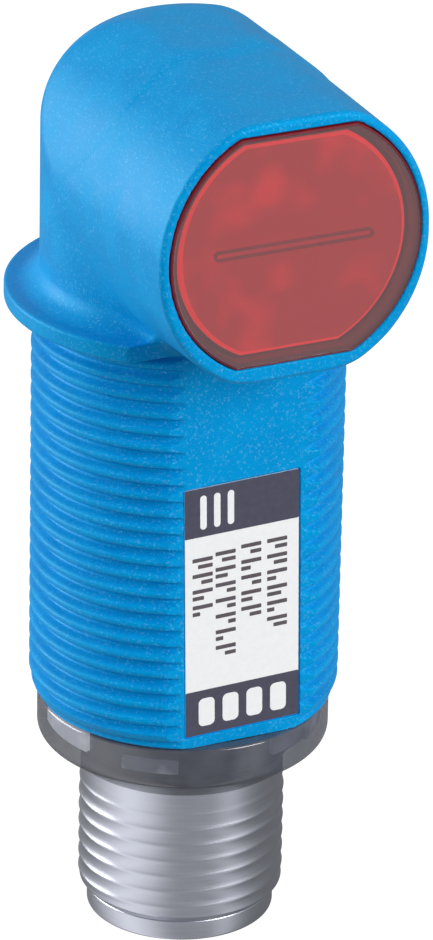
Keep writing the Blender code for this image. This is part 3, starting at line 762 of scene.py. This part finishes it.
window_body(
    "window_wall_painted_glow",
    [(7.54, 6.69, WALL_FRONT), (7.55, 6.7, WINDOW_BACK), (7.15, 6.35, WINDOW_BACK), (7.15, 6.35, WALL_FRONT)],
    WALL_PAINTED_GLOW, ("front_lens",), closed=True,
)
window_body(
    "window_front",
    [
        (7.40, 6.56, WINDOW_FRONT), (7.42, 6.58, -13.48), (7.45, 6.61, -13.44),
        (7.45, 6.61, WINDOW_SKIN_BACK), (7.15, 6.35, WINDOW_SKIN_BACK),
    ],
    WINDOW, ("front_lens",),
)
window_body(
    "window_edge_ring",
    [
        (7.455, 6.615, -13.45), (7.49, 6.65, -13.43), (7.54, 6.69, -13.36),
        (7.545, 6.695, WINDOW_SKIN_BACK), (7.455, 6.615, WINDOW_SKIN_BACK),
    ],
    WALL_PAINTED_GLOW, ("front_lens",), closed=True,
)
window_body(
    "window_backing", [(7.14, 6.34, BACKING_FRONT), (7.14, 6.34, WINDOW_BACK)],
    WINDOW_DARK, ("front_lens",),
)
window_body(
    "window_plate_painted_glow", [(6.6, 5.93, PLATE_FRONT), (6.6, 5.93, PLATE_BACK)], PLATE_PAINTED_GLOW, ("front_lens",)
)
window_body(
    "window_edge",
    [(6.61, 5.94, PLATE_FRONT), (6.84, 6.17, PLATE_RIM), (6.84, 6.17, PLATE_BACK), (6.61, 5.94, PLATE_BACK)],
    EDGE_PAINTED_HIGHLIGHT, ("front_lens",), closed=True,
)
slot_frame(
    "window_slot", SLOT_LENGTH, SLOT_HEIGHT, SLOT_LINE_WIDTH, SLOT_FRONT, SLOT_BACK, SLOT_PAINTED_GLOW
)

# ---------------------------------------------------------------- indicator ring

shell = (
    corner((RING_RADIUS - RING_EDGE, RING_TOP - RING_EDGE), RING_EDGE, 90, 0, 4)
    + corner((RING_RADIUS - RING_CORNER, RING_SIDE_END - 0.3), RING_CORNER, 0, -50, 8)
    + [(6.6, RING_BOTTOM + 0.14), (6.4, RING_BOTTOM)]
    + [(RING_MOUTH, RING_BOTTOM + 0.02), (RING_MOUTH, RING_BOTTOM + 0.4)]
    + [(RING_INNER - 0.7, RING_SIDE_END - 0.5), (RING_INNER, RING_SIDE_END), (RING_INNER, RING_TOP)]
)
lathe("ring_shell", shell, RING_STEPS, SMOKE, ("indicator_ring",))
core = [
    (RING_INNER - 0.05, RING_TOP), (RING_INNER - 0.05, RING_SIDE_END),
    (RING_INNER - 0.8, RING_SIDE_END - 0.55), (6.2, RING_BOTTOM + 0.6), (6.12, RING_BOTTOM + 0.6),
    (6.12, RING_SIDE_END), (6.45, RING_SIDE_END + 0.2), (6.45, RING_TOP),
]
lathe("ring_core", core, CORE_STEPS, RING_CORE, ("indicator_ring",))


def guide_block(name, centre, half_width, low, high, material):
    """Curved light-guide block inside the ring's shell, angles in degrees."""
    angle = np.radians(np.linspace(centre - half_width, centre + half_width, 13))
    inner, outer = RING_INNER - GUIDE_GAP, RING_INNER + GUIDE_DEPTH
    rows = ((outer, high), (outer, low), (inner, low), (inner, high))
    points = np.concatenate([polar(angle, radius, height) for radius, height in rows])
    size = len(angle)
    faces = []
    for r in range(4):
        a, b = r * size, ((r + 1) % 4) * size
        faces += [[a + i, b + i, b + i + 1, a + i + 1] for i in range(size - 1)]
    faces.append([0, 3 * size, 2 * size, size])
    faces.append([size - 1, 2 * size - 1, 3 * size - 1, 4 * size - 1])
    add_piece(name, points, faces, material, ("indicator_ring",), sharp=35)


# The first three are the ones the photograph shows; the others go on round the back
# The first block wears the brighter painted-lit copy: painted light, not a lamp.
guide_block("light_guide_1", CAMERA_SIDE - 60, 17, -26.05, -24.7, GUIDE_PAINTED_LIT)
guide_block("light_guide_2", CAMERA_SIDE - 13, 12, -26.3, -25.55, GUIDE_PAINTED_GLOW)
guide_block("light_guide_3", CAMERA_SIDE + 50, 9, -25.9, -24.95, GUIDE_PAINTED_GLOW)
for number in range(4, 9):
    middle = CAMERA_SIDE - 60 + GUIDE_SPACING * (number - 1)
    guide_block(f"light_guide_{number}", middle, 12, -26.1, -25.0, GUIDE_PAINTED_GLOW)

# ---------------------------------------------------------------- connector sleeve


def sleeve():
    """Metal connector sleeve with its soft thread and plain tip."""
    angle = np.linspace(0, 2 * math.pi, SLEEVE_STEPS, endpoint=False)[None, :]
    thread_end = SLEEVE_END + SLEEVE_TIP_LENGTH
    above = [
        (SLEEVE_STEM, SLEEVE_TOP), (SLEEVE_STEM, SLEEVE_COLLAR_TOP), (SLEEVE_COLLAR, SLEEVE_COLLAR_TOP),
        (SLEEVE_COLLAR, SLEEVE_COLLAR_BOTTOM), (SLEEVE_NECK, SLEEVE_COLLAR_BOTTOM), (SLEEVE_NECK, SLEEVE_NECK_BOTTOM),
    ]
    levels = np.arange(SLEEVE_FIRST_ROW, thread_end, -SLEEVE_ROW_STEP)
    below = (
        corner((SLEEVE_TIP - 0.1, thread_end - 0.12), 0.1, 60, 0, 3)
        + corner((SLEEVE_TIP - 0.2, SLEEVE_END + 0.2), 0.2, 0, -90, 8)
        + [(SLEEVE_BORE + 0.25, SLEEVE_END), (SLEEVE_BORE, SLEEVE_END + 0.25), (SLEEVE_BORE, SLEEVE_TOP)]
    )
    rows = [polar(angle, radius, height) for radius, height in above]
    for level in levels:
        offset = level - SLEEVE_CREST_Z - angle / (2 * math.pi)
        offset = offset - np.round(offset)
        radius = SLEEVE_CORE + (SLEEVE_CREST - SLEEVE_CORE) * (1 - 2 * np.abs(offset)) ** 2
        start = np.clip((SLEEVE_THREAD_TOP - level) / 0.8, 0, 1)
        end = np.clip((level - thread_end) / 0.6, 0, 1)
        radius = SLEEVE_NECK + (radius - SLEEVE_NECK) * start
        radius = np.minimum(radius, SLEEVE_TIP + 0.05 + (SLEEVE_CREST - SLEEVE_TIP) * end)
        rows.append(polar(angle, radius, level))
    rows += [polar(angle, radius, height) for radius, height in below]
    faces = loop_faces(len(rows), angle.size)
    add_piece("sleeve_body", np.concatenate(rows), faces, NICKEL, ("connector_sleeve",), sharp=40)


sleeve()

# ---------------------------------------------------------------- stage, light and camera


def add_floor():
    """Pale floor that glows a little, so that its shadow stays faint."""
    mesh = bpy.data.meshes.new("floor")
    level = SLEEVE_END * MM
    corners = [(sx * FLOOR_HALF, sy * FLOOR_HALF, level) for sx, sy in ((-1, -1), (1, -1), (1, 1), (-1, 1))]
    mesh.from_pydata(corners, [], [(0, 1, 2, 3)])
    floor = bpy.data.objects.new("floor", mesh)
    material, node = shader("floor_white", (0.25, 0.25, 0.25), 0.9)
    node.inputs["Emission Color"].default_value = (1.0, 1.0, 1.0, 1.0)
    node.inputs["Emission Strength"].default_value = 0.9
    mesh.materials.append(material)
    bpy.context.scene.collection.objects.link(floor)
    floor.visible_diffuse = False
    floor.visible_glossy = False


def add_light(name, azimuth, elevation, width, height, radiance):
    """Softbox round the object, aimed at its middle; radiance in scene white."""
    light = bpy.data.lights.new(name, "AREA")
    light.shape = "RECTANGLE"
    light.size, light.size_y = width, height
    light.energy = radiance * math.pi * width * height
    lamp = bpy.data.objects.new(name, light)
    a, e = math.radians(azimuth), math.radians(elevation)
    towards = Vector((math.cos(a) * math.cos(e), math.sin(a) * math.cos(e), math.sin(e)))
    lamp.location = Vector((0, 0, LIGHT_AIM)) + towards * LIGHT_DISTANCE
    lamp.visible_camera = False
    lamp.rotation_mode = "QUATERNION"
    lamp.rotation_quaternion = towards.to_track_quat("Z", "Y")
    bpy.context.scene.collection.objects.link(lamp)


def add_world():
    """White behind the object; soft light from above, and brighter and darker sides near the ground."""
    world = bpy.data.worlds.new("studio")
    world.use_nodes = True
    tree = world.node_tree
    place = tree.nodes.new("ShaderNodeTexCoord")
    split = tree.nodes.new("ShaderNodeSeparateXYZ")
    tree.links.new(place.outputs["Generated"], split.inputs["Vector"])
    turn = tree.nodes.new("ShaderNodeMath")
    turn.operation = "ARCTAN2"
    tree.links.new(split.outputs["Y"], turn.inputs[0])
    tree.links.new(split.outputs["X"], turn.inputs[1])
    share = tree.nodes.new("ShaderNodeMapRange")
    share.inputs["From Min"].default_value = -math.pi
    share.inputs["From Max"].default_value = math.pi
    tree.links.new(turn.outputs["Value"], share.inputs["Value"])
    glow = tree.nodes.new("ShaderNodeValToRGB")
    elements = glow.color_ramp.elements
    while len(elements) < len(GROUND_GLOW):
        elements.new(0.5)
    for element, (degrees, level) in zip(elements, GROUND_GLOW):
        element.position = (degrees + 180) / 360
        element.color = (level, level, level * 1.03, 1.0)
    tree.links.new(share.outputs["Result"], glow.inputs["Fac"])

    def by_height(low, high, start, end):
        """Number that rises with the direction's height."""
        node = tree.nodes.new("ShaderNodeMapRange")
        node.inputs["From Min"].default_value = start
        node.inputs["From Max"].default_value = end
        node.inputs["To Min"].default_value = low
        node.inputs["To Max"].default_value = high
        tree.links.new(split.outputs["Z"], node.inputs["Value"])
        return node.outputs["Result"]

    def background(strength=None, colour=None, level=1.0, blue=1.0):
        """Light from all round, even or following a socket."""
        node = tree.nodes.new("ShaderNodeBackground")
        node.inputs["Color"].default_value = (level, level, level * blue, 1.0)
        if strength is not None:
            tree.links.new(strength, node.inputs["Strength"])
        if colour is not None:
            tree.links.new(colour, node.inputs["Color"])
        return node.outputs["Background"]

    def mixed(factor, first, second):
        """First light where the factor is 0, second where it is 1."""
        node = tree.nodes.new("ShaderNodeMixShader")
        tree.links.new(factor, node.inputs["Fac"])
        tree.links.new(first, node.inputs[1])
        tree.links.new(second, node.inputs[2])
        return node.outputs["Shader"]

    path = tree.nodes.new("ShaderNodeLightPath")
    ground, sky = background(colour=glow.outputs["Color"]), background(level=SKY_GLOW, blue=1.05)
    shiny = mixed(by_height(0.0, 1.0, SKY_START, SKY_FULL), ground, sky)
    soft = background(strength=by_height(AMBIENT_BELOW, AMBIENT_ABOVE, AMBIENT_START, AMBIENT_FULL))
    lighting = mixed(path.outputs["Is Diffuse Ray"], shiny, soft)
    seen = mixed(path.outputs["Is Camera Ray"], lighting, background())
    tree.links.new(seen, tree.nodes["World Output"].inputs["Surface"])
    bpy.context.scene.world = world


def add_camera():
    """Camera at the photograph's viewing angle, fitted to its outline: from above, with a long lens."""
    camera = bpy.data.cameras.new("camera")
    camera.lens = 236.1
    camera.sensor_width = 36.0
    camera.clip_start, camera.clip_end = 0.01, 10.0
    view = bpy.data.objects.new("camera", camera)
    right = (0.90301, -0.42924, 0.01798)
    up = (0.16311, 0.38126, 0.90996)
    forward = (0.39745, 0.81877, -0.41430)
    place = (-0.138396, -0.288998, 0.135044)
    rows = [(right[i], up[i], -forward[i], place[i]) for i in range(3)]
    view.matrix_world = Matrix([*rows, (0, 0, 0, 1)])
    bpy.context.scene.collection.objects.link(view)
    bpy.context.scene.camera = view


add_floor()
add_world()
add_light("softbox_left", 143, 8, 0.36, 0.36, 6.8)
add_light("softbox_right", 296, 22, 0.24, 0.28, 8.0)
add_camera()
bpy.context.scene.view_settings.view_transform = "Standard"
